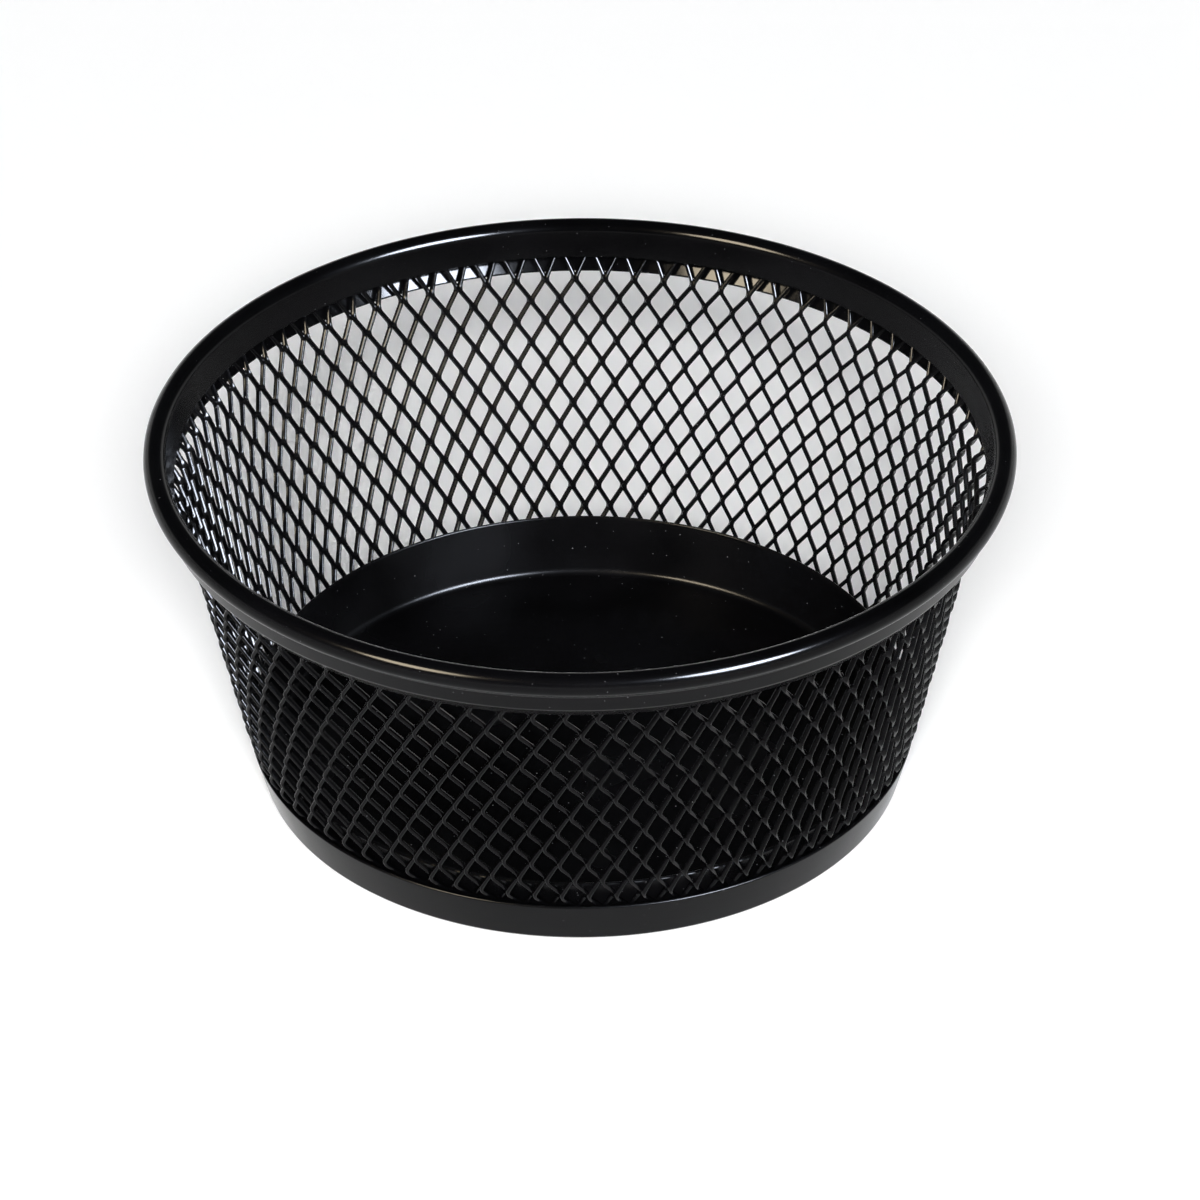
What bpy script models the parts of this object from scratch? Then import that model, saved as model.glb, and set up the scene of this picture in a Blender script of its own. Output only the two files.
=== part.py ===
"""Mesh storage dish: a conical wall of expanded steel between a rolled rim and a pressed base.

Every piece is a body of revolution or a lattice about +Z. The dish stands on the desk at z = 0.
"""

import math

import bmesh
import bpy
from mathutils import Matrix, Vector

MM = 0.001

# Overall sizes
RIM_DIAMETER = 111.0 * MM  # across the outside of the rolled bead
BASE_DIAMETER = 83.6 * MM  # across the foot band, where its outer face would meet its underside
HEIGHT = 49.0 * MM  # desk to the top of the bead

# Rolled rim, lengths measured down the wall from the middle of the bead
BEAD_OVERHANG = 0.8 * MM  # how far the bead stands out past the skirt
RIM_GAUGE = 0.5 * MM
SKIRT_LENGTH = 5.3 * MM
LIP_LENGTH = 3.5 * MM

# Foot band
BAND_GAUGE = 0.5 * MM
BAND_HEIGHT = 6.0 * MM
FOOT_FLANGE_WIDTH = 4.5 * MM  # how far the turned-in edge reaches under the floor
FOOT_BEND_RADIUS = 0.3 * MM

# Floor pan
PAN_GAUGE = 0.5 * MM
PAN_FLANGE_HEIGHT = 8.2 * MM  # underside of the floor to the top of its turned-up edge
PAN_BEND_RADIUS = 1.0 * MM

# Expanded mesh
MESH_THICKNESS = 0.8 * MM
MESH_COLUMNS = 40
MESH_ROWS = 4
STRAND_WIDTH = 1.4 * MM

# Pad and fits
PAD_PROUD = 0.3 * MM  # how far the pad lifts the foot band off the desk
PAD_MARGIN = 0.5 * MM  # pad edge to the foot flange
FIT_CLEARANCE = 0.2 * MM  # between pieces that are pressed together

# Roundness of the curves
RING_SEGMENTS = 64
BEAD_STEPS = 10
BEND_STEPS = 4
SMOOTH_ANGLE = math.radians(35.0)
MERGE_DISTANCE = 0.001 * MM  # closes the floor's pole, where the section meets the axis

# The bead spans the hem, lip to skirt, and the overhang; its middle is in the (radius, height) half plane
HEM_THICKNESS = 2 * RIM_GAUGE + 2 * FIT_CLEARANCE + MESH_THICKNESS
BEAD_RADIUS = (HEM_THICKNESS + BEAD_OVERHANG) / 2
BEAD_R = RIM_DIAMETER / 2 - BEAD_RADIUS
BEAD_Z = HEIGHT - BEAD_RADIUS

# Layers across the wall, measured outwards from the middle of the bead, square to the wall
LIP_INNER = -BEAD_RADIUS
LIP_OUTER = LIP_INNER + RIM_GAUGE
MESH_INNER = LIP_OUTER + FIT_CLEARANCE
MESH_OUTER = MESH_INNER + MESH_THICKNESS
SKIRT_INNER = MESH_OUTER + FIT_CLEARANCE
SKIRT_OUTER = SKIRT_INNER + RIM_GAUGE
BAND_INNER = MESH_OUTER + FIT_CLEARANCE
BAND_OUTER = BAND_INNER + BAND_GAUGE
PAN_OUTER = MESH_INNER - FIT_CLEARANCE
PAN_INNER = PAN_OUTER - PAN_GAUGE

# Heights of the base, from the desk up
FOOT_Z = PAD_PROUD
PAN_Z = FOOT_Z + BAND_GAUGE + FIT_CLEARANCE
PAD_THICKNESS = PAN_Z - FIT_CLEARANCE
FOOT_BEND_Z = FOOT_Z + BAND_GAUGE + FOOT_BEND_RADIUS
PAN_BEND_Z = PAN_Z + PAN_GAUGE + PAN_BEND_RADIUS


def wall_lean():
    """Lean of the wall that brings the band's outer face to the base diameter at its underside."""
    run = BEAD_R - BASE_DIAMETER / 2
    rise = BEAD_Z - FOOT_Z
    return math.atan2(run, rise) + math.asin(BAND_OUTER / math.hypot(run, rise))


LEAN = wall_lean()

# Inner edges of the mesh sheet, which the hems cover
MESH_BOTTOM_Z = FOOT_BEND_Z + FIT_CLEARANCE + MESH_THICKNESS * math.sin(LEAN)
MESH_TOP_Z = BEAD_Z


def wall_point(across, along):
    """Radius and height of a point across the wall and along it, from the middle of the bead."""
    radius = BEAD_R + across * math.cos(LEAN) + along * math.sin(LEAN)
    height = BEAD_Z - across * math.sin(LEAN) + along * math.cos(LEAN)
    return radius, height


def wall_along(across, height):
    """Distance along the wall at which the given layer reaches a height."""
    return (height - BEAD_Z + across * math.sin(LEAN)) / math.cos(LEAN)


def wall_radius(across, height):
    """Radius of the given layer of the wall at a height."""
    return wall_point(across, wall_along(across, height))[0]


def arc(centre, radius, start, end, steps):
    """Points of a circular arc in the (radius, height) half plane, both ends included."""
    points = []
    for step in range(steps + 1):
        angle = start + (end - start) * step / steps
        points.append((centre[0] + radius * math.cos(angle), centre[1] + radius * math.sin(angle)))
    return points


def rim_profile():
    """Section of the rim sheet: up the inner lip, over the bead, and down the outer skirt."""
    bead_hollow = BEAD_RADIUS - RIM_GAUGE
    centre = (BEAD_R, BEAD_Z)
    lip_side = math.pi - LEAN
    neck_outer = -math.acos(SKIRT_OUTER / BEAD_RADIUS) - LEAN
    neck_inner = -math.acos(SKIRT_INNER / bead_hollow) - LEAN
    outside = arc(centre, BEAD_RADIUS, lip_side, neck_outer, BEAD_STEPS)
    inside = arc(centre, bead_hollow, neck_inner, lip_side, BEAD_STEPS)
    lip_edge = [wall_point(LIP_OUTER, -LIP_LENGTH), wall_point(LIP_INNER, -LIP_LENGTH)]
    skirt_edge = [wall_point(SKIRT_OUTER, -SKIRT_LENGTH), wall_point(SKIRT_INNER, -SKIRT_LENGTH)]
    return lip_edge + outside + skirt_edge + inside


def band_profile():
    """Section of the foot band: down its leaning face, round the bend and in under the floor."""
    outer_bend = FOOT_BEND_RADIUS + BAND_GAUGE
    bend = (wall_radius(BAND_OUTER - outer_bend, FOOT_BEND_Z), FOOT_BEND_Z)
    top = wall_along(BAND_OUTER, FOOT_Z + BAND_HEIGHT)
    flange_end = foot_opening_radius()
    face = [wall_point(BAND_INNER, top), wall_point(BAND_OUTER, top)]
    flange = [(flange_end, FOOT_Z), (flange_end, FOOT_Z + BAND_GAUGE)]
    outside = arc(bend, outer_bend, -LEAN, -math.pi / 2, BEND_STEPS)
    inside = arc(bend, FOOT_BEND_RADIUS, -math.pi / 2, -LEAN, BEND_STEPS)
    return face + outside + flange + inside


def foot_opening_radius():
    """Inner radius of the band's turned-in edge, which frames the pad."""
    return wall_radius(BAND_OUTER, FOOT_Z) - FOOT_FLANGE_WIDTH


def pan_profile():
    """Section of the floor pan from the axis out to its turned-up edge and back."""
    outer_bend = PAN_BEND_RADIUS + PAN_GAUGE
    bend = (wall_radius(PAN_OUTER - outer_bend, PAN_BEND_Z), PAN_BEND_Z)
    top = wall_along(PAN_OUTER, PAN_Z + PAN_FLANGE_HEIGHT)
    edge = [wall_point(PAN_OUTER, top), wall_point(PAN_INNER, top)]
    underside = [(0.0, PAN_Z)] + arc(bend, outer_bend, -math.pi / 2, -LEAN, BEND_STEPS)
    floor = arc(bend, PAN_BEND_RADIUS, -LEAN, -math.pi / 2, BEND_STEPS) + [(0.0, PAN_Z + PAN_GAUGE)]
    return underside + edge + floor


def spun(profile, closed):
    """Solid of revolution about +Z of a section given as (radius, height) points."""
    bm = bmesh.new()
    verts = [bm.verts.new((radius, 0.0, height)) for radius, height in profile]
    edges = [bm.edges.new(pair) for pair in zip(verts, verts[1:])]
    if closed:
        edges.append(bm.edges.new((verts[-1], verts[0])))
    bmesh.ops.spin(
        bm,
        geom=verts + edges,
        axis=(0.0, 0.0, 1.0),
        angle=2 * math.pi,
        steps=RING_SEGMENTS,
        use_merge=True,
    )
    bmesh.ops.remove_doubles(bm, verts=bm.verts, dist=MERGE_DISTANCE)
    bmesh.ops.recalc_face_normals(bm, faces=bm.faces)
    return bm


def on_wall(vert, across):
    """Put a vertex on a layer of the wall, level with where it is."""
    flat = Vector((vert.co.x, vert.co.y, 0.0))
    flat.length = wall_radius(across, vert.co.z)
    vert.co = (flat.x, flat.y, vert.co.z)


def diamond_lattice():
    """Open sheet of diamonds on the inner face of the mesh, from its bottom edge to its top edge."""
    bm = bmesh.new()
    bmesh.ops.create_cone(
        bm,
        segments=MESH_COLUMNS,
        radius1=wall_radius(MESH_INNER, MESH_BOTTOM_Z),
        radius2=wall_radius(MESH_INNER, MESH_TOP_Z),
        depth=MESH_TOP_Z - MESH_BOTTOM_Z,
        matrix=Matrix.Translation((0.0, 0.0, (MESH_TOP_Z + MESH_BOTTOM_Z) / 2)),
    )
    uprights = [edge for edge in bm.edges if not edge.is_boundary]
    bmesh.ops.subdivide_edges(bm, edges=uprights, cuts=MESH_ROWS - 1, use_grid_fill=True)
    grid = [edge for edge in bm.edges if not edge.is_boundary]
    bmesh.ops.poke(bm, faces=bm.faces)
    bmesh.ops.dissolve_edges(bm, edges=grid)
    strands = [edge for edge in bm.edges if not edge.is_boundary]
    steel = bmesh.ops.bevel(
        bm,
        geom=strands,
        offset=STRAND_WIDTH / 2,
        offset_type="OFFSET",
        affect="EDGES",
        segments=1,
        profile=0.5,
        material=-1,
    )["faces"]
    openings = set(bm.faces) - set(steel)
    bmesh.ops.delete(bm, geom=list(openings), context="FACES")
    for edge_z, direction in ((MESH_BOTTOM_Z, -1.0), (MESH_TOP_Z, 1.0)):
        bmesh.ops.bisect_plane(
            bm,
            geom=bm.verts[:] + bm.edges[:] + bm.faces[:],
            plane_co=(0.0, 0.0, edge_z),
            plane_no=(0.0, 0.0, direction),
            clear_outer=True,
        )
    for vert in bm.verts:
        on_wall(vert, MESH_INNER)
    return bm


def mesh_solid():
    """The lattice, thickened outwards and square to the wall."""
    bm = diamond_lattice()
    extruded = bmesh.ops.extrude_face_region(bm, geom=bm.faces[:])["geom"]
    for vert in extruded:
        if isinstance(vert, bmesh.types.BMVert):
            outward = Vector((vert.co.x, vert.co.y, 0.0)).normalized() * math.cos(LEAN)
            outward.z = -math.sin(LEAN)
            vert.co += outward * MESH_THICKNESS
    bmesh.ops.recalc_face_normals(bm, faces=bm.faces)
    return bm


def pad_solid():
    """The pad: a plain disc, framed by the foot flange, with its underside on the desk."""
    radius = foot_opening_radius() - PAD_MARGIN
    bm = bmesh.new()
    bmesh.ops.create_cone(
        bm,
        cap_ends=True,
        segments=RING_SEGMENTS,
        radius1=radius,
        radius2=radius,
        depth=PAD_THICKNESS,
        matrix=Matrix.Translation((0.0, 0.0, PAD_THICKNESS / 2)),
    )
    return bm


def material(name, colour, roughness):
    """A coating in one colour; none of them is metallic, because the enamel covers the steel."""
    made = bpy.data.materials.new(name)
    made.use_nodes = True
    shader = made.node_tree.nodes["Principled BSDF"]
    shader.inputs["Base Color"].default_value = (*colour, 1.0)
    shader.inputs["Roughness"].default_value = roughness
    shader.inputs["Metallic"].default_value = 0.0
    return made


def add_piece(name, bm, finish, parent):
    """Turn a bmesh into a smooth-shaded object of the dish."""
    mesh = bpy.data.meshes.new(name)
    bm.to_mesh(mesh)
    bm.free()
    mesh.shade_smooth()
    mesh.set_sharp_from_angle(angle=SMOOTH_ANGLE)
    mesh.materials.append(finish)
    piece = bpy.data.objects.new(name, mesh)
    piece.parent = parent
    bpy.context.scene.collection.objects.link(piece)


def main():
    for old in list(bpy.data.objects):
        bpy.data.objects.remove(old, do_unlink=True)
    dish = bpy.data.objects.new("mesh_storage_dish", None)
    bpy.context.scene.collection.objects.link(dish)
    gloss_enamel = material("gloss_black_enamel_rim", colour=(0.006, 0.006, 0.007), roughness=0.18)
    mesh_enamel = material("gloss_black_enamel_mesh", colour=(0.007, 0.007, 0.008), roughness=0.25)
    band_enamel = material("satin_black_enamel_band", colour=(0.010, 0.010, 0.011), roughness=0.35)
    floor_enamel = material("satin_black_enamel_floor", colour=(0.010, 0.010, 0.011), roughness=0.40)
    foam = material("black_foam_pad", colour=(0.014, 0.014, 0.014), roughness=0.90)
    add_piece("rolled_rim", spun(rim_profile(), closed=True), gloss_enamel, dish)
    add_piece("mesh_wall", mesh_solid(), mesh_enamel, dish)
    add_piece("foot_band", spun(band_profile(), closed=True), band_enamel, dish)
    add_piece("floor_pan", spun(pan_profile(), closed=False), floor_enamel, dish)
    add_piece("base_pad", pad_solid(), foam, dish)


main()
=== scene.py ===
"""Mesh storage dish: rolled rim, expanded mesh wall, pressed base and pad, with finishes, on a pale stage.

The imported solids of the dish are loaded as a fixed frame, and each finished piece stands for one of them.
Lengths are in metres, +Z is up, and the dish stands on z = 0 about the Z axis, as in the frame.
"""

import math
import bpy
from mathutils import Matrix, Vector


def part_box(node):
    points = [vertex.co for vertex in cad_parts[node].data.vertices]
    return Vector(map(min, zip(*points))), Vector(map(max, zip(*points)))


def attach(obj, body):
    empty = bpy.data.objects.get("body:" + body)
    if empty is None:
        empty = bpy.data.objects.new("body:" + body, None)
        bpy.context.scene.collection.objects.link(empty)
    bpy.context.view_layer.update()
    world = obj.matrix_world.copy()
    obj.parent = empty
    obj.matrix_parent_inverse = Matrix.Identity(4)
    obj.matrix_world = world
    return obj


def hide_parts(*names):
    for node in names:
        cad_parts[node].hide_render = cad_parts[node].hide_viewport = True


bl_info = {
    "name": "Mesh Storage Dish",
    "version": (1, 0, 0),
    "blender": (4, 5, 0),
    "location": "View3D > Sidebar > Dish",
    "description": "Builds a round desk dish of expanded steel mesh with its finishes and its stage",
    "category": "Object",
}

import bmesh
import bpy
from bpy.props import FloatProperty, FloatVectorProperty, IntProperty, PointerProperty
from mathutils import Matrix, Vector

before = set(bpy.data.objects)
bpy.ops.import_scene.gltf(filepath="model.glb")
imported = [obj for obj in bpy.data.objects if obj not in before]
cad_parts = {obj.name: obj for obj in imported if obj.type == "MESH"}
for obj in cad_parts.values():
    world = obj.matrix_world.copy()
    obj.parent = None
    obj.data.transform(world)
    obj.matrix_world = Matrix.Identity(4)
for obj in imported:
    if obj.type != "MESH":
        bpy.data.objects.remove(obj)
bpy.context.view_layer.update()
RIM_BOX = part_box("rolled_rim")
BAND_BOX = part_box("foot_band")
PAN_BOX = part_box("floor_pan")
PAD_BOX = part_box("base_pad")

MM = 0.001
BODY = "root"

# Fineness of the curves
RING_STEPS = 224
BEAD_STEPS = 44
BEND_STEPS = 8
EDGE_STEPS = 3
STRAND_EDGE_STEPS = 1
ROW_STEPS = 4  # lengthwise steps in half a diamond: the bond, a turn, the straight strand and a turn
EDGE_ANGLE = math.radians(55.0)  # sharper folds than this are cut edges of the sheet
CUT_ROUNDING = 0.42  # rounding of a cut edge, as a share of the gauge
MERGE_DISTANCE = 0.0005 * MM
FLAT_WEIGHT = 100  # the larger a face, the more the shading at its corners follows it

# Grain of the enamel
ENAMEL_IOR = 1.5
PEEL_DETAIL = 1.5
PATCH_SIZE = 14.0 * MM  # duller patches where hands hold the dish
PATCH_DETAIL = 3.0
PATCH_NOISE = (0.3, 0.7)  # values of the noise in the least and the most dull patches
FILM_REACH = 2.0  # brightness of the haziest patch against the written colour, which the middle ones show
SPECK_REACH = (0.035, 0.07)  # a speck's full core and its faded edge, as shares of the specks' spacing
CROWD_SIZE = 28.0 * MM  # places where more dust settled
CROWD_DETAIL = 1.0
CROWD_NOISE = (0.4, 0.58)  # values of the noise where the dust begins and where it is thickest

# Grain of the foam
CELL_SIZE = 0.6 * MM
CELL_DEPTH = 0.08 * MM
CELL_REACH = 0.8  # distance from a cell's middle to its walls, as a share of the cell
# Painted shade: the cells' middles, which the bump sinks into pits, are darker, and their walls paler
CELL_PIT_PAINTED_SHADE = (0.7, 1.2)  # brightness at a cell's middle and at its walls
FOAM_ROUGHNESS = 0.92

# Stage: the bearing of each lamp, positive to the camera's right, and its elevation, both in degrees,
# and its width and height
LAMP_DISTANCE = 5.0
KEY_PLACE = (0.0, 34.0)
KEY_SIZE = (1.8, 1.2)
RIGHT_PLACE = (43.0, 37.0)
RIGHT_SIZE = (2.4, 1.9)
LEFT_PLACE = (-48.0, 42.0)
LEFT_SIZE = (2.0, 1.8)
FLOOR_RADIUS = 12.0
PAD_OVERLAP = 0.5 * MM
BAND_TOP = math.radians(9.0)  # the white band round the horizon fades from here
ROOM_FOOT = math.radians(18.0)  # to here
CAMERA_CLIP = 10.0 * MM


def linear(hex_colour):
    """Linear red, green and blue of an sRGB hex colour."""
    shares = [int(hex_colour[place:place + 2], 16) / 255 for place in (1, 3, 5)]
    return [s / 12.92 if s <= 0.04045 else ((s + 0.055) / 1.055) ** 2.4 for s in shares]


def length(name, description, metres):
    """A size that a user can change."""
    return FloatProperty(name=name, description=description, default=metres, unit="LENGTH", precision=5)


def angle(name, description, degrees):
    """An angle that a user can change."""
    return FloatProperty(name=name, description=description, default=math.radians(degrees), subtype="ANGLE")


def share(name, description, value):
    """A plain number from 0 up that a user can change."""
    return FloatProperty(name=name, description=description, default=value, min=0.0)


def colour(name, description, hex_colour):
    """A colour that a user can change."""
    return FloatVectorProperty(
        name=name,
        description=description,
        default=linear(hex_colour),
        subtype="COLOR",
        size=3,
        min=0.0,
        max=1.0,
    )


class DishWallSizes(bpy.types.PropertyGroup):
    """The line of the wall, which the rim, the mesh and the base all follow."""

    rim_radius: length("Rim radius", "Axis to the outside of the bead", RIM_BOX[1].x)
    height: length("Height", "Desk to the top of the bead", RIM_BOX[1].z)
    bead_radius: length("Bead radius", "Radius of the rolled bead on top of the rim", 1.5 * MM)
    lean: angle("Lean", "Lean of the wall away from upright", 15.315)
    gauge: length("Gauge", "Thickness of the sheet steel in the rim and the base", 0.5 * MM)
    skirt_face: length("Skirt face", "Outer face of skirt and band, out from the bead's middle", 0.7 * MM)
    hem_middle: length("Hem middle", "Middle of the mesh in the hems, in from the bead's middle", 0.4 * MM)


class DishRimSizes(bpy.types.PropertyGroup):
    """The rolled rim, measured down the wall from the middle of the bead."""

    skirt_length: length("Skirt length", "Outer skirt below the bead", 5.8 * MM)
    lip_length: length("Lip length", "Inner lip below the bead", 3.5 * MM)
    neck_radius: length("Neck radius", "Hollow between the bead and the skirt", 0.8 * MM)
    pinch_length: length("Pinch length", "Lower end of the skirt, pinched in on the mesh", 2.0 * MM)
    pinch_turn: angle("Pinch turn", "Turn of that end towards the mesh", 22.0)
    pinch_bend: length("Pinch bend", "Outer radius of the bend above that end", 1.0 * MM)


class DishMeshSizes(bpy.types.PropertyGroup):
    """The expanded mesh: a sheet that is slit, pulled open and rolled into a cone."""

    columns: IntProperty(name="Columns", description="Diamonds round the wall", default=80, min=8)
    rows: IntProperty(name="Half rows", description="Half diamonds up the wall", default=15, min=2)
    half_row: length("Half row", "Height of half a diamond", 2.896 * MM)
    first_bond: length("First bond", "Height of the lowest bonds, inside the band", 1.89 * MM)
    bond_length: length("Bond length", "Steel left between two slits in line", 0.67 * MM)
    bond_turn: length("Bond turn", "Length in which a strand turns out of its bond", 0.33 * MM)
    strand_width: length("Strand width", "Width of the strip between two lines of slits", 0.66 * MM)
    strand_gauge: length("Strand gauge", "Thickness of the sheet that was expanded", 0.53 * MM)
    strand_edge: length("Strand edge", "Rounding of the strand's edges under the enamel", 0.12 * MM)
    tilt: angle("Tilt", "Turn of the strands out of the wall, which raises the mesh", 56.2)
    foot_out: length("Foot out", "Middle of the mesh at the band, out from the bead's middle", 0.22 * MM)
    top_in: length("Top in", "Middle of the mesh under the lip, in from the bead's middle", 1.75 * MM)
    top_pull: length("Top pull", "How much higher the hem holds the last bonds than even rows", 0.6 * MM)
    hem_ease: length("Hem ease", "Height in which the mesh bends into a hem", 2.8 * MM)
    crimp: share("Crimp", "Share of its raise that the mesh keeps where a hem presses it flat", 0.45)
    start: angle("Start", "Turn of the first slit from +X", 0.78)
    skew: angle("Skew", "Turn of the top of the sheet against its foot, left from rolling it", -1.17)
    drift: angle("Drift", "Shift of the columns at back and front, where the roll isn't quite round", 0.455)
    row_rise: length("Row rise", "How much higher the rows lie at the front than at the sides", 0.53 * MM)


class DishBaseSizes(bpy.types.PropertyGroup):
    """The pressed base: the foot band, the floor pan and the pad."""

    band_foot: length("Band foot", "Underside of the band above the desk", BAND_BOX[0].z)
    band_height: length("Band height", "Height of the band's face", 6.0 * MM)
    band_flange: length("Band flange", "Reach of the band's turned-in edge under the floor", 4.5 * MM)
    band_bend: length("Band bend", "Outer radius of the bend under the band", 0.8 * MM)
    pan_foot: length("Pan foot", "Underside of the floor above the desk", PAN_BOX[0].z)
    pan_height: length("Pan height", "Height of the floor pan's turned-up edge", 8.2 * MM)
    pan_bend: length("Pan bend", "Outer radius of the bend round the floor", 1.5 * MM)
    pan_face: length("Pan face", "Outer face of the pan's edge, in from the middle of the bead", 1.0 * MM)
    pad_radius: length("Pad radius", "Radius of the pad", PAD_BOX[1].x)
    pad_thickness: length("Pad thickness", "Thickness of the pad", PAD_BOX[1].z)
    pad_edge: length("Pad edge", "Rounding of the pad's cut edge", 0.2 * MM)


class DishFinishes(bpy.types.PropertyGroup):
    """Colours of the coatings and the pad, and the enamel's gloss."""

    rim: colour("Rim", "Gloss enamel of the rim", "#050506")
    mesh: colour("Mesh", "Gloss enamel of the mesh", "#050506")
    base: colour("Base", "Satin enamel of the band and the floor", "#060607")
    dust: colour("Dust", "Fine specks caught in the enamel", "#68686B")
    foam: colour("Foam", "Foam of the pad", "#161617")
    gloss: share("Gloss", "Strength of the enamel's reflections, 0.5 for a plain clear coat", 0.1)


class DishStageSettings(bpy.types.PropertyGroup):
    """The floor, the lamps and the camera."""

    floor: colour("Floor", "Plain pale floor", "#F4F4F4")
    floor_lift: share("Floor lift", "Light that the floor adds in the picture and in reflections", 0.15)
    sky: colour("Sky", "Dim room above the stage", "#404246")
    horizon: colour("Horizon", "White band round the stage", "#F4F4F4")
    key_lamp: colour("Key lamp", "Soft lamp over the camera, which lights the matt surfaces", "#FFFFFF")
    right_lamp: colour("Right lamp", "Cool lamp on the right, which the gloss mirrors", "#E6EFFF")
    left_lamp: colour("Left lamp", "Warm lamp on the left, which the gloss mirrors", "#FFEFD2")
    key_level: share("Key level", "Brightness of the key lamp", 79.0)
    right_level: share("Right level", "Brightness of the right lamp", 200.0)
    left_level: share("Left level", "Brightness of the left lamp", 60.0)
    camera_height: angle("Camera elevation", "Height of the camera above the horizon", 33.74)
    camera_roll: angle("Camera roll", "Turn of the camera about its view", -0.39)
    camera_distance: length("Camera distance", "Camera to the point that it looks at", 826.0 * MM)
    camera_lens: FloatProperty(
        name="Lens", description="Focal length of the lens", default=191.7, unit="CAMERA"
    )
    aim_x: length("Aim across", "Point that the camera looks at, across", 2.42 * MM)
    aim_z: length("Aim height", "Point that the camera looks at, above the desk", 23.69 * MM)


class DishSettings(bpy.types.PropertyGroup):
    """All that can be set about the dish and its stage."""

    wall: PointerProperty(type=DishWallSizes)
    rim: PointerProperty(type=DishRimSizes)
    mesh: PointerProperty(type=DishMeshSizes)
    base: PointerProperty(type=DishBaseSizes)
    finish: PointerProperty(type=DishFinishes)
    stage: PointerProperty(type=DishStageSettings)


class WallLine:
    """The leaning line of the wall in the (radius, height) half plane, through the middle of the bead."""

    def __init__(self, sizes):
        self.radius = sizes.rim_radius - sizes.bead_radius
        self.height = sizes.height - sizes.bead_radius
        self.lean = sizes.lean

    def point(self, across, along):
        """Radius and height of a point out across the wall and up along it."""
        radius = self.radius + across * math.cos(self.lean) + along * math.sin(self.lean)
        height = self.height - across * math.sin(self.lean) + along * math.cos(self.lean)
        return radius, height

    def at_height(self, across, height):
        """Radius and height of the layer's point at a height."""
        along = (height - self.height + across * math.sin(self.lean)) / math.cos(self.lean)
        return self.point(across, along)


def start_section(bm, point):
    """First point of a section through a round piece."""
    return bm.verts.new((point[0], 0.0, point[1]))


def draw_to(bm, end, point):
    """Carry the end of a section straight on to a point."""
    moved = bmesh.ops.extrude_vert_indiv(bm, verts=[end])["verts"][0]
    moved.co = (point[0], 0.0, point[1])
    return moved


def roll(bm, end, centre, turn, steps):
    """Carry the end of a section round a centre."""
    swept = bmesh.ops.spin(
        bm, geom=[end], cent=(centre[0], 0.0, centre[1]), axis=(0.0, 1.0, 0.0), angle=turn, steps=steps
    )
    return swept["geom_last"][0]


def press_sheet(bm, gauge):
    """Turn a section of an outer face round the axis, give it the gauge inwards and round its cut edges."""
    bmesh.ops.spin(
        bm,
        geom=bm.verts[:] + bm.edges[:],
        axis=(0.0, 0.0, 1.0),
        angle=math.tau,
        steps=RING_STEPS,
        use_merge=True,
    )
    bmesh.ops.remove_doubles(bm, verts=bm.verts, dist=MERGE_DISTANCE)
    bmesh.ops.recalc_face_normals(bm, faces=bm.faces)
    bmesh.ops.solidify(bm, geom=bm.faces[:], thickness=gauge)
    round_edges(bm, gauge * CUT_ROUNDING, EDGE_STEPS)


def round_edges(bm, offset, steps):
    """Round every edge that folds sharply."""
    sharp = [edge for edge in bm.edges if edge.is_manifold and edge.calc_face_angle() > EDGE_ANGLE]
    bmesh.ops.bevel(
        bm,
        geom=sharp,
        offset=offset,
        offset_type="OFFSET",
        affect="EDGES",
        segments=steps,
        profile=0.5,
        material=-1,
        clamp_overlap=True,
    )


def rim_sheet(sizes, rim, wall):
    """Rolled rim: up the lip, over the bead, through the neck and down the skirt to its pinched end."""
    bm = bmesh.new()
    neck_out = sizes.skirt_face + rim.neck_radius
    neck_turn = math.acos(neck_out / (sizes.bead_radius + rim.neck_radius))
    neck_down = neck_out * math.tan(neck_turn)
    end = start_section(bm, wall.point(-sizes.bead_radius, -rim.lip_length))
    end = draw_to(bm, end, wall.point(-sizes.bead_radius, 0.0))
    end = roll(bm, end, wall.point(0.0, 0.0), math.pi + neck_turn, BEAD_STEPS)
    end = roll(bm, end, wall.point(neck_out, -neck_down), -neck_turn, BEND_STEPS)
    pinch_down = rim.pinch_length - rim.skirt_length
    pinch_flat = rim.pinch_length - rim.pinch_bend * math.sin(rim.pinch_turn)
    pinch_in = rim.pinch_bend * (1.0 - math.cos(rim.pinch_turn)) + pinch_flat * math.tan(rim.pinch_turn)
    end = draw_to(bm, end, wall.point(sizes.skirt_face, pinch_down))
    bend = wall.point(sizes.skirt_face - rim.pinch_bend, pinch_down)
    end = roll(bm, end, bend, rim.pinch_turn, BEND_STEPS)
    draw_to(bm, end, wall.point(sizes.skirt_face - pinch_in, -rim.skirt_length))
    press_sheet(bm, sizes.gauge)
    return bm


def band_sheet(sizes, base, wall):
    """Foot band: down its leaning face, round the bend and in under the floor."""
    bm = bmesh.new()
    bend_z = base.band_foot + base.band_bend
    bend = wall.at_height(sizes.skirt_face - base.band_bend, bend_z)
    foot = wall.at_height(sizes.skirt_face, base.band_foot)
    end = start_section(bm, wall.at_height(sizes.skirt_face, base.band_foot + base.band_height))
    bend_out = base.band_bend * math.cos(sizes.lean)
    bend_down = base.band_bend * math.sin(sizes.lean)
    end = draw_to(bm, end, (bend[0] + bend_out, bend_z - bend_down))
    end = roll(bm, end, bend, math.pi / 2 - sizes.lean, BEND_STEPS)
    draw_to(bm, end, (foot[0] - base.band_flange, base.band_foot))
    press_sheet(bm, sizes.gauge)
    return bm


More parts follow.
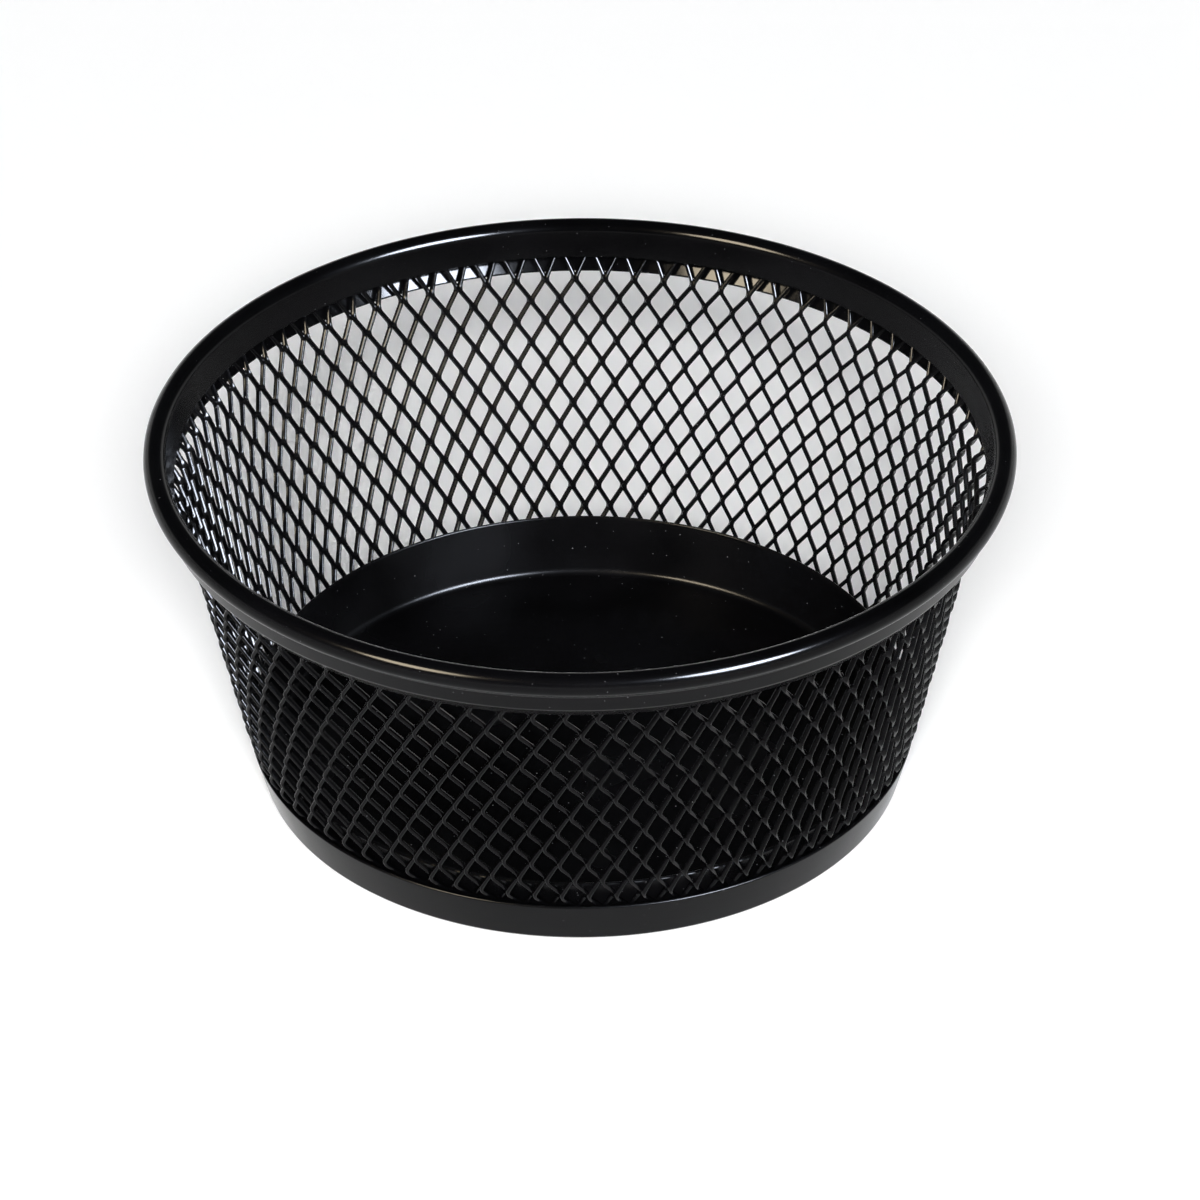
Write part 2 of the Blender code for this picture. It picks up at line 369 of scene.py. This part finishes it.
def pan_sheet(sizes, base, wall):
    """Floor pan: out from the axis under the floor, round the bend and up its leaning edge."""
    bm = bmesh.new()
    bend_z = base.pan_foot + base.pan_bend
    bend = wall.at_height(-base.pan_face - base.pan_bend, bend_z)
    end = start_section(bm, (0.0, base.pan_foot))
    end = draw_to(bm, end, (bend[0], base.pan_foot))
    end = roll(bm, end, bend, sizes.lean - math.pi / 2, BEND_STEPS)
    draw_to(bm, end, wall.at_height(-base.pan_face, base.pan_foot + base.pan_height))
    press_sheet(bm, sizes.gauge)
    return bm


def pad_disc(base):
    """Pad: a disc cut from foam sheet, its cut edge rounded."""
    bm = bmesh.new()
    bmesh.ops.create_circle(bm, cap_ends=True, radius=base.pad_radius, segments=RING_STEPS)
    bmesh.ops.inset_region(bm, faces=bm.faces[:], thickness=base.pad_radius / 2, use_even_offset=True)
    raised = bmesh.ops.extrude_face_region(bm, geom=bm.faces[:])["geom"]
    top = [item for item in raised if isinstance(item, bmesh.types.BMVert)]
    bmesh.ops.translate(bm, verts=top, vec=(0.0, 0.0, base.pad_thickness))
    bmesh.ops.recalc_face_normals(bm, faces=bm.faces)
    round_edges(bm, base.pad_edge, EDGE_STEPS)
    return bm


def slit_sheet(strips, rows):
    """Flat sheet of strips, slit along them between its bonds. A strip is 1 wide and a step 1 long."""
    bm = bmesh.new()
    steps = rows * ROW_STEPS + 1
    place = Matrix.Diagonal((strips, steps, 1.0, 1.0)) @ Matrix.Translation((0.5, 0.5, 0.0))
    bmesh.ops.create_grid(bm, x_segments=strips, y_segments=steps, size=0.5, matrix=place)
    bmesh.ops.split_edges(bm, edges=[edge for edge in bm.edges if is_slit(edge)])
    return bm


def is_slit(edge):
    """Whether an edge of the flat sheet lies in a slit, and so not in a bond or across a strip."""
    low, high = sorted((vert.co for vert in edge.verts), key=lambda place: place.y)
    if edge.is_boundary or high.y - low.y < 0.5:
        return False
    row, step = divmod(round(low.y), ROW_STEPS)
    return step > 0 or (round(low.x) + row) % 2 == 1


def ramp(value, low, high):
    """0 below low, 1 above high and a smooth rise between them."""
    share_up = min(max((value - low) / (high - low), 0.0), 1.0)
    return share_up * share_up * (3.0 - 2.0 * share_up)


class Stretch:
    """Where each point of the slit sheet goes when it is pulled open and rolled round the wall."""

    def __init__(self, sizes, rim, mesh, base, wall):
        self.mesh = mesh
        self.wall = wall
        self.hem_middle = sizes.hem_middle
        self.low_hem = base.band_foot + base.band_height
        self.high_hem = wall.point(-sizes.bead_radius, -rim.lip_length)[1]

    def swing(self, strip, row, step):
        """Side to which a strip is pulled: 1 at a bond with the next strip, -1 at one with the last."""
        mesh = self.mesh
        at_bond = 1.0 if (strip + row) % 2 == 1 else -1.0
        turned = mesh.bond_turn / (mesh.half_row - mesh.bond_length)
        return at_bond * (1.0, 1.0, 1.0 - turned, turned - 1.0)[step]

    def height(self, row, step):
        """Height of a step of a row: the bond about the row's own height, and the last bonds pulled up."""
        mesh = self.mesh
        flat = (mesh.bond_length - mesh.bond_turn) / 2
        turned = (mesh.bond_length + mesh.bond_turn) / 2
        last = row * ROW_STEPS + step >= mesh.rows * ROW_STEPS - 1
        level = mesh.first_bond + row * mesh.half_row + (mesh.top_pull if last else 0.0)
        return level + (-flat, flat, turned, mesh.half_row - turned)[step]

    def share_up(self, height):
        """0 at the top of the band, 1 at the lower edge of the lip."""
        return (height - self.low_hem) / (self.high_hem - self.low_hem)

    def across(self, height):
        """How far out the mesh stands: in line with the hems inside them, on a steeper cone between.

        It leaves the lower hem from a third of the ease inside the band.
        """
        mesh = self.mesh
        cone = mesh.foot_out - (mesh.foot_out + mesh.top_in) * self.share_up(height)
        out_of_band = ramp(height, self.low_hem - mesh.hem_ease / 3, self.low_hem + mesh.hem_ease)
        out_of_lip = ramp(self.high_hem - height, 0.0, mesh.hem_ease)
        return (cone + self.hem_middle) * min(out_of_band, out_of_lip) - self.hem_middle

    def raised(self, height):
        """How much the strands stand out of the wall: 1 where it is open, and less inside the hems.

        Half of the ease inside a hem presses them flat.
        """
        ease = self.mesh.hem_ease / 2
        held = max(ramp(self.low_hem - height, 0.0, ease), ramp(height - self.high_hem, 0.0, ease))
        return 1.0 - (1.0 - self.mesh.crimp) * held

    def place(self, strip, side, row, step):
        """Place of one point of the sheet, on the last or next side of its strip."""
        mesh = self.mesh
        turn = mesh.start + math.pi * (strip + 0.5) / mesh.columns
        backwards = math.sin(turn)
        height = self.height(row, step) - mesh.row_rise * backwards
        radius, level = self.wall.at_height(self.across(height), height)
        quarter = math.tau * radius / mesh.columns / 4
        swing = self.swing(strip, row, step)
        half_flat = mesh.strand_width / 2 * math.cos(mesh.tilt)
        half_raised = mesh.strand_width / 2 * math.sin(mesh.tilt) * self.raised(height)
        sideways = (quarter - half_flat) * swing + side * half_flat
        outwards = half_raised * (side - swing)
        turn += mesh.drift * backwards + mesh.skew * (self.share_up(height) - 0.5) + sideways / radius
        radius += outwards * math.cos(self.wall.lean)
        level -= outwards * math.sin(self.wall.lean)
        return Vector((radius * math.cos(turn), radius * math.sin(turn), level))


def expanded_mesh(sizes, rim, mesh, base, wall):
    """Expanded mesh: a slit sheet, pulled open, rolled round, thickened and rounded at its edges."""
    bm = slit_sheet(2 * mesh.columns, mesh.rows)
    stretch = Stretch(sizes, rim, mesh, base, wall)
    strip_of = {vert: math.floor(vert.link_faces[0].calc_center_median().x) for vert in bm.verts}
    for vert, strip in strip_of.items():
        side = 2 * (round(vert.co.x) - strip) - 1
        row, step = divmod(round(vert.co.y), ROW_STEPS)
        vert.co = stretch.place(strip, side, row, step)
    bmesh.ops.remove_doubles(bm, verts=bm.verts, dist=MERGE_DISTANCE)
    bmesh.ops.recalc_face_normals(bm, faces=bm.faces)
    bm.normal_update()
    for vert in bm.verts:
        vert.co += vert.normal * mesh.strand_gauge / 2
    bmesh.ops.solidify(bm, geom=bm.faces[:], thickness=mesh.strand_gauge)
    round_edges(bm, mesh.strand_edge, STRAND_EDGE_STEPS)
    return bm


def add_node(tree, kind, sockets=None, **settings):
    """Add a node with its settings, and give its sockets their values or links."""
    node = tree.nodes.new(kind)
    for name, value in settings.items():
        setattr(node, name, value)
    for name, value in (sockets or {}).items():
        if isinstance(value, bpy.types.NodeSocket):
            tree.links.new(value, node.inputs[name])
        else:
            node.inputs[name].default_value = value
    return node


def new_material(name):
    """An empty node material and its tree."""
    material = bpy.data.materials.new(name)
    material.use_nodes = True
    material.node_tree.nodes.clear()
    return material, material.node_tree


def enamel(name, base, finish, roughness, spread, peel_size, peel_height, dust_size):
    """Baked black enamel on steel.

    The coat flows before it sets, so its reflections waver a little, as orange peel does. Handling leaves
    patches that are slightly duller, and a few specks of dust are baked in. Real specks are too fine to
    show, so these are drawn coarser.
    """
    material, tree = new_material(name)
    where = add_node(tree, "ShaderNodeTexCoord").outputs["Object"]
    peel = add_node(
        tree, "ShaderNodeTexNoise", {"Vector": where, "Scale": 1.0 / peel_size, "Detail": PEEL_DETAIL}
    )
    bump = add_node(
        tree, "ShaderNodeBump", {"Height": peel.outputs["Fac"], "Distance": peel_height, "Strength": 1.0}
    )
    patches = add_node(
        tree, "ShaderNodeTexNoise", {"Vector": where, "Scale": 1.0 / PATCH_SIZE, "Detail": PATCH_DETAIL}
    )
    dullness = add_node(
        tree,
        "ShaderNodeMapRange",
        {
            "Value": patches.outputs["Fac"],
            "From Min": PATCH_NOISE[0],
            "From Max": PATCH_NOISE[1],
            "To Min": roughness - spread,
            "To Max": roughness + spread,
        },
    )
    grains = add_node(
        tree, "ShaderNodeTexVoronoi", {"Vector": where, "Scale": 1.0 / dust_size, "Randomness": 1.0}
    )
    speck = add_node(
        tree,
        "ShaderNodeMapRange",
        {
            "Value": grains.outputs["Distance"],
            "From Min": SPECK_REACH[0],
            "From Max": SPECK_REACH[1],
            "To Min": 1.0,
            "To Max": 0.0,
        },
    )
    crowds = add_node(
        tree, "ShaderNodeTexNoise", {"Vector": where, "Scale": 1.0 / CROWD_SIZE, "Detail": CROWD_DETAIL}
    )
    crowded = add_node(
        tree,
        "ShaderNodeMapRange",
        {"Value": crowds.outputs["Fac"], "From Min": CROWD_NOISE[0], "From Max": CROWD_NOISE[1]},
    )
    dusted = add_node(
        tree,
        "ShaderNodeMath",
        {0: speck.outputs["Result"], 1: crowded.outputs["Result"]},
        operation="MULTIPLY",
    )
    hazy = [FILM_REACH * part for part in base]
    film = add_node(
        tree,
        "ShaderNodeMix",
        {"Factor": patches.outputs["Fac"], "A": (0.0, 0.0, 0.0, 1.0), "B": (*hazy, 1.0)},
        data_type="RGBA",
    )
    tint = add_node(
        tree,
        "ShaderNodeMix",
        {"Factor": dusted.outputs["Value"], "A": film.outputs["Result"], "B": (*finish.dust, 1.0)},
        data_type="RGBA",
    )
    shader = add_node(
        tree,
        "ShaderNodeBsdfPrincipled",
        {
            "Base Color": tint.outputs["Result"],
            "Roughness": dullness.outputs["Result"],
            "IOR": ENAMEL_IOR,
            "Specular IOR Level": finish.gloss,
            "Normal": bump.outputs["Normal"],
        },
    )
    add_node(tree, "ShaderNodeOutputMaterial", {"Surface": shader.outputs["BSDF"]})
    return material


def closed_cell_foam(name, base):
    """Closed-cell foam sheet: matt, with a skin of fine cells that show as a grain, and painted shade that
    darkens each cell's pit and lightens its walls.

    Real cells are too fine to show, so these are drawn coarser.
    """
    material, tree = new_material(name)
    where = add_node(tree, "ShaderNodeTexCoord").outputs["Object"]
    cells = add_node(
        tree, "ShaderNodeTexVoronoi", {"Vector": where, "Scale": 1.0 / CELL_SIZE, "Randomness": 1.0}
    )
    bump = add_node(
        tree,
        "ShaderNodeBump",
        {"Height": cells.outputs["Distance"], "Distance": CELL_DEPTH, "Strength": 1.0},
    )
    # Painted shade: darker in each cell's pit, where the bump sinks, and paler on its walls
    pit_painted_shade = add_node(
        tree,
        "ShaderNodeMapRange",
        {
            "Value": cells.outputs["Distance"],
            "From Max": CELL_REACH,
            "To Min": CELL_PIT_PAINTED_SHADE[0],
            "To Max": CELL_PIT_PAINTED_SHADE[1],
        },
    )
    tint = add_node(
        tree,
        "ShaderNodeMix",
        {"Factor": 1.0, "A": (*base, 1.0), "B": pit_painted_shade.outputs["Result"]},
        data_type="RGBA",
        blend_type="MULTIPLY",
    )
    shader = add_node(
        tree,
        "ShaderNodeBsdfPrincipled",
        {
            "Base Color": tint.outputs["Result"],
            "Roughness": FOAM_ROUGHNESS,
            "Normal": bump.outputs["Normal"],
        },
    )
    add_node(tree, "ShaderNodeOutputMaterial", {"Surface": shader.outputs["BSDF"]})
    return material


def finish_piece(name, bm, material, node):
    """Make a bmesh an object at the origin that stands for a solid, rides on the dish and is smooth."""
    mesh = bpy.data.meshes.new(name)
    bm.to_mesh(mesh)
    bm.free()
    mesh.shade_smooth()
    mesh.materials.append(material)
    piece = bpy.data.objects.new(name, mesh)
    bpy.context.scene.collection.objects.link(piece)
    weighted = piece.modifiers.new("face_weighted_shading", "WEIGHTED_NORMAL")
    weighted.mode = "FACE_AREA"
    weighted.weight = FLAT_WEIGHT
    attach(piece, BODY)
    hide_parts(node)
    return piece


class DISH_OT_rolled_rim(bpy.types.Operator):
    """Build the rolled rim with its bead, skirt and lip"""

    bl_idname = "dish.rolled_rim"
    bl_label = "Rolled Rim"

    def execute(self, context):
        dish = context.scene.dish
        bm = rim_sheet(dish.wall, dish.rim, WallLine(dish.wall))
        # Smooth gloss on rolled sheet gives a deep black with long clean highlights
        coat = enamel(
            "gloss_enamel_rim",
            dish.finish.rim,
            dish.finish,
            roughness=0.15,
            spread=0.02,
            peel_size=1.6 * MM,
            peel_height=0.0012 * MM,
            dust_size=1.2 * MM,
        )
        finish_piece("rim_rolled_sheet", bm, coat, "rolled_rim")
        return {"FINISHED"}


class DISH_OT_mesh_wall(bpy.types.Operator):
    """Build the wall of raised expanded mesh"""

    bl_idname = "dish.mesh_wall"
    bl_label = "Mesh Wall"

    def execute(self, context):
        dish = context.scene.dish
        bm = expanded_mesh(dish.wall, dish.rim, dish.mesh, dish.base, WallLine(dish.wall))
        # Gloss that runs thick over the strands gives small bright glints on soft edges
        coat = enamel(
            "gloss_enamel_mesh",
            dish.finish.mesh,
            dish.finish,
            roughness=0.16,
            spread=0.03,
            peel_size=0.7 * MM,
            peel_height=0.004 * MM,
            dust_size=1.3 * MM,
        )
        finish_piece("mesh_expanded_sheet", bm, coat, "mesh_wall")
        return {"FINISHED"}


class DISH_OT_foot_band(bpy.types.Operator):
    """Build the band round the foot"""

    bl_idname = "dish.foot_band"
    bl_label = "Foot Band"

    def execute(self, context):
        dish = context.scene.dish
        bm = band_sheet(dish.wall, dish.base, WallLine(dish.wall))
        # Satin on a pressed band gives broad soft greys at the sides
        coat = enamel(
            "satin_enamel_band",
            dish.finish.base,
            dish.finish,
            roughness=0.2,
            spread=0.04,
            peel_size=1.4 * MM,
            peel_height=0.0015 * MM,
            dust_size=1.3 * MM,
        )
        finish_piece("band_pressed_sheet", bm, coat, "foot_band")
        return {"FINISHED"}


class DISH_OT_floor_pan(bpy.types.Operator):
    """Build the floor pan"""

    bl_idname = "dish.floor_pan"
    bl_label = "Floor Pan"

    def execute(self, context):
        dish = context.scene.dish
        bm = pan_sheet(dish.wall, dish.base, WallLine(dish.wall))
        # Satin on a flat floor gives a soft uneven sheen
        coat = enamel(
            "satin_enamel_floor",
            dish.finish.base,
            dish.finish,
            roughness=0.24,
            spread=0.06,
            peel_size=1.4 * MM,
            peel_height=0.002 * MM,
            dust_size=1.4 * MM,
        )
        finish_piece("pan_pressed_sheet", bm, coat, "floor_pan")
        return {"FINISHED"}


class DISH_OT_base_pad(bpy.types.Operator):
    """Build the pad under the floor"""

    bl_idname = "dish.base_pad"
    bl_label = "Base Pad"

    def execute(self, context):
        dish = context.scene.dish
        # Matt foam gives a dull dark grey with a fine grain, and painted shade in the pits of its cells
        foam = closed_cell_foam("closed_cell_foam_pad", dish.finish.foam)
        pad = finish_piece("pad_foam_disc", pad_disc(dish.base), foam, "base_pad")
        return {"FINISHED"}


def floor_material(stage):
    """Matt pale paint that keeps the dish's shadow, lifted to white in the picture and in reflections."""
    material, tree = new_material("matt_pale_floor")
    ray = add_node(tree, "ShaderNodeLightPath")
    seen = ray.outputs["Is Camera Ray"]
    for kind in ("Is Glossy Ray", "Is Transmission Ray"):
        either = add_node(tree, "ShaderNodeMath", {0: seen, 1: ray.outputs[kind]}, operation="MAXIMUM")
        seen = either.outputs["Value"]
    lift = add_node(tree, "ShaderNodeMath", {0: seen, 1: stage.floor_lift}, operation="MULTIPLY")
    paint = add_node(tree, "ShaderNodeBsdfDiffuse", {"Color": (*stage.floor, 1.0)})
    glow = add_node(
        tree, "ShaderNodeEmission", {"Color": (*stage.floor, 1.0), "Strength": lift.outputs["Value"]}
    )
    both = add_node(tree, "ShaderNodeAddShader", {0: paint.outputs[0], 1: glow.outputs[0]})
    add_node(tree, "ShaderNodeOutputMaterial", {"Surface": both.outputs[0]})
    return material


def add_floor(stage, pad_radius):
    """A wide round floor under the dish, open where the pad covers it, so that the pad shows from below."""
    bm = bmesh.new()
    for radius in (FLOOR_RADIUS, pad_radius - PAD_OVERLAP):
        bmesh.ops.create_circle(bm, radius=radius, segments=RING_STEPS)
    bmesh.ops.bridge_loops(bm, edges=bm.edges[:])
    bm.normal_update()
    bmesh.ops.reverse_faces(bm, faces=[face for face in bm.faces if face.normal.z < 0.0])
    mesh = bpy.data.meshes.new("pale_floor")
    bm.to_mesh(mesh)
    bm.free()
    mesh.materials.append(floor_material(stage))
    floor = bpy.data.objects.new("pale_floor", mesh)
    bpy.context.scene.collection.objects.link(floor)


def add_softbox(name, tint, level, place, size, in_gloss):
    """A soft lamp facing the dish, either for matt surfaces or for what the gloss mirrors.

    Its place is a bearing, positive to the camera's right, and an elevation, both in degrees.
    """
    lamp = bpy.data.lights.new(name, "AREA")
    lamp.shape = "ELLIPSE"
    lamp.size = size[0]
    lamp.size_y = size[1]
    lamp.color = tint
    lamp.energy = level * math.pi * (math.pi / 4 * size[0] * size[1])
    bearing = math.radians(place[0])
    elevation = math.radians(place[1])
    flat = math.cos(elevation)
    towards = Vector((math.sin(bearing) * flat, -math.cos(bearing) * flat, math.sin(elevation)))
    box = bpy.data.objects.new(name, lamp)
    box.location = towards * LAMP_DISTANCE
    box.rotation_euler = towards.to_track_quat("Z", "Y").to_euler()
    box.visible_diffuse = not in_gloss
    box.visible_glossy = in_gloss
    bpy.context.scene.collection.objects.link(box)


def set_room(stage):
    """A dim room with a white band round the horizon."""
    world = bpy.data.worlds.new("dim_room")
    world.use_nodes = True
    tree = world.node_tree
    tree.nodes.clear()
    where = add_node(tree, "ShaderNodeTexCoord").outputs["Generated"]
    height = add_node(tree, "ShaderNodeSeparateXYZ", {"Vector": where}).outputs["Z"]
    up = add_node(
        tree,
        "ShaderNodeMapRange",
        {"Value": height, "From Min": math.sin(BAND_TOP), "From Max": math.sin(ROOM_FOOT)},
        interpolation_type="SMOOTHSTEP",
    )
    tint = add_node(
        tree,
        "ShaderNodeMix",
        {"Factor": up.outputs["Result"], "A": (*stage.horizon, 1.0), "B": (*stage.sky, 1.0)},
        data_type="RGBA",
    )
    glow = add_node(tree, "ShaderNodeBackground", {"Color": tint.outputs["Result"], "Strength": 1.0})
    add_node(tree, "ShaderNodeOutputWorld", {"Surface": glow.outputs["Background"]})
    bpy.context.scene.world = world


def add_camera(stage):
    """The camera at the photograph's place and angle."""
    data = bpy.data.cameras.new("view_of_dish")
    data.lens = stage.camera_lens
    data.clip_start = CAMERA_CLIP
    camera = bpy.data.objects.new("view_of_dish", data)
    back = Vector((0.0, -math.cos(stage.camera_height), math.sin(stage.camera_height)))
    aim = Vector((stage.aim_x, 0.0, stage.aim_z))
    tip = Matrix.Rotation(math.pi / 2 - stage.camera_height, 4, "X")
    turn = Matrix.Rotation(stage.camera_roll, 4, "Z")
    camera.matrix_world = Matrix.Translation(aim + back * stage.camera_distance) @ tip @ turn
    bpy.context.scene.collection.objects.link(camera)
    bpy.context.scene.camera = camera


class DISH_OT_stage(bpy.types.Operator):
    """Build the floor, the room, the lamps and the camera"""

    bl_idname = "dish.stage"
    bl_label = "Stage"

    def execute(self, context):
        stage = context.scene.dish.stage
        add_floor(stage, context.scene.dish.base.pad_radius)
        set_room(stage)
        add_softbox("key_lamp", stage.key_lamp, stage.key_level, KEY_PLACE, KEY_SIZE, in_gloss=False)
        add_softbox("right_lamp", stage.right_lamp, stage.right_level, RIGHT_PLACE, RIGHT_SIZE, in_gloss=True)
        add_softbox("left_lamp", stage.left_lamp, stage.left_level, LEFT_PLACE, LEFT_SIZE, in_gloss=True)
        add_camera(stage)
        context.scene.view_settings.view_transform = "Standard"
        return {"FINISHED"}


STEPS = (
    DISH_OT_rolled_rim,
    DISH_OT_mesh_wall,
    DISH_OT_foot_band,
    DISH_OT_floor_pan,
    DISH_OT_base_pad,
    DISH_OT_stage,
)


class DISH_PT_sidebar(bpy.types.Panel):
    """Sidebar with the dish's sizes, finishes and steps"""

    bl_idname = "DISH_PT_sidebar"
    bl_label = "Mesh Storage Dish"
    bl_space_type = "VIEW_3D"
    bl_region_type = "UI"
    bl_category = "Dish"

    def draw(self, context):
        for group in ("wall", "rim", "mesh", "base", "finish", "stage"):
            box = self.layout.box()
            box.label(text=group.capitalize())
            settings = getattr(context.scene.dish, group)
            for name in settings.__annotations__:
                box.prop(settings, name)
        for step in STEPS:
            self.layout.operator(step.bl_idname)


CLASSES = (
    DishWallSizes,
    DishRimSizes,
    DishMeshSizes,
    DishBaseSizes,
    DishFinishes,
    DishStageSettings,
    DishSettings,
    *STEPS,
    DISH_PT_sidebar,
)


def register():
    """Add the dish's classes and its settings to Blender."""
    for made in CLASSES:
        bpy.utils.register_class(made)
    bpy.types.Scene.dish = PointerProperty(type=DishSettings)


def unregister():
    """Take the dish's classes and its settings out of Blender."""
    del bpy.types.Scene.dish
    for made in reversed(CLASSES):
        bpy.utils.unregister_class(made)


def main():
    """Build every piece and the stage."""
    register()
    bpy.ops.dish.rolled_rim()
    bpy.ops.dish.mesh_wall()
    bpy.ops.dish.foot_band()
    bpy.ops.dish.floor_pan()
    bpy.ops.dish.base_pad()
    bpy.ops.dish.stage()


if __name__ == "__main__":
    main()
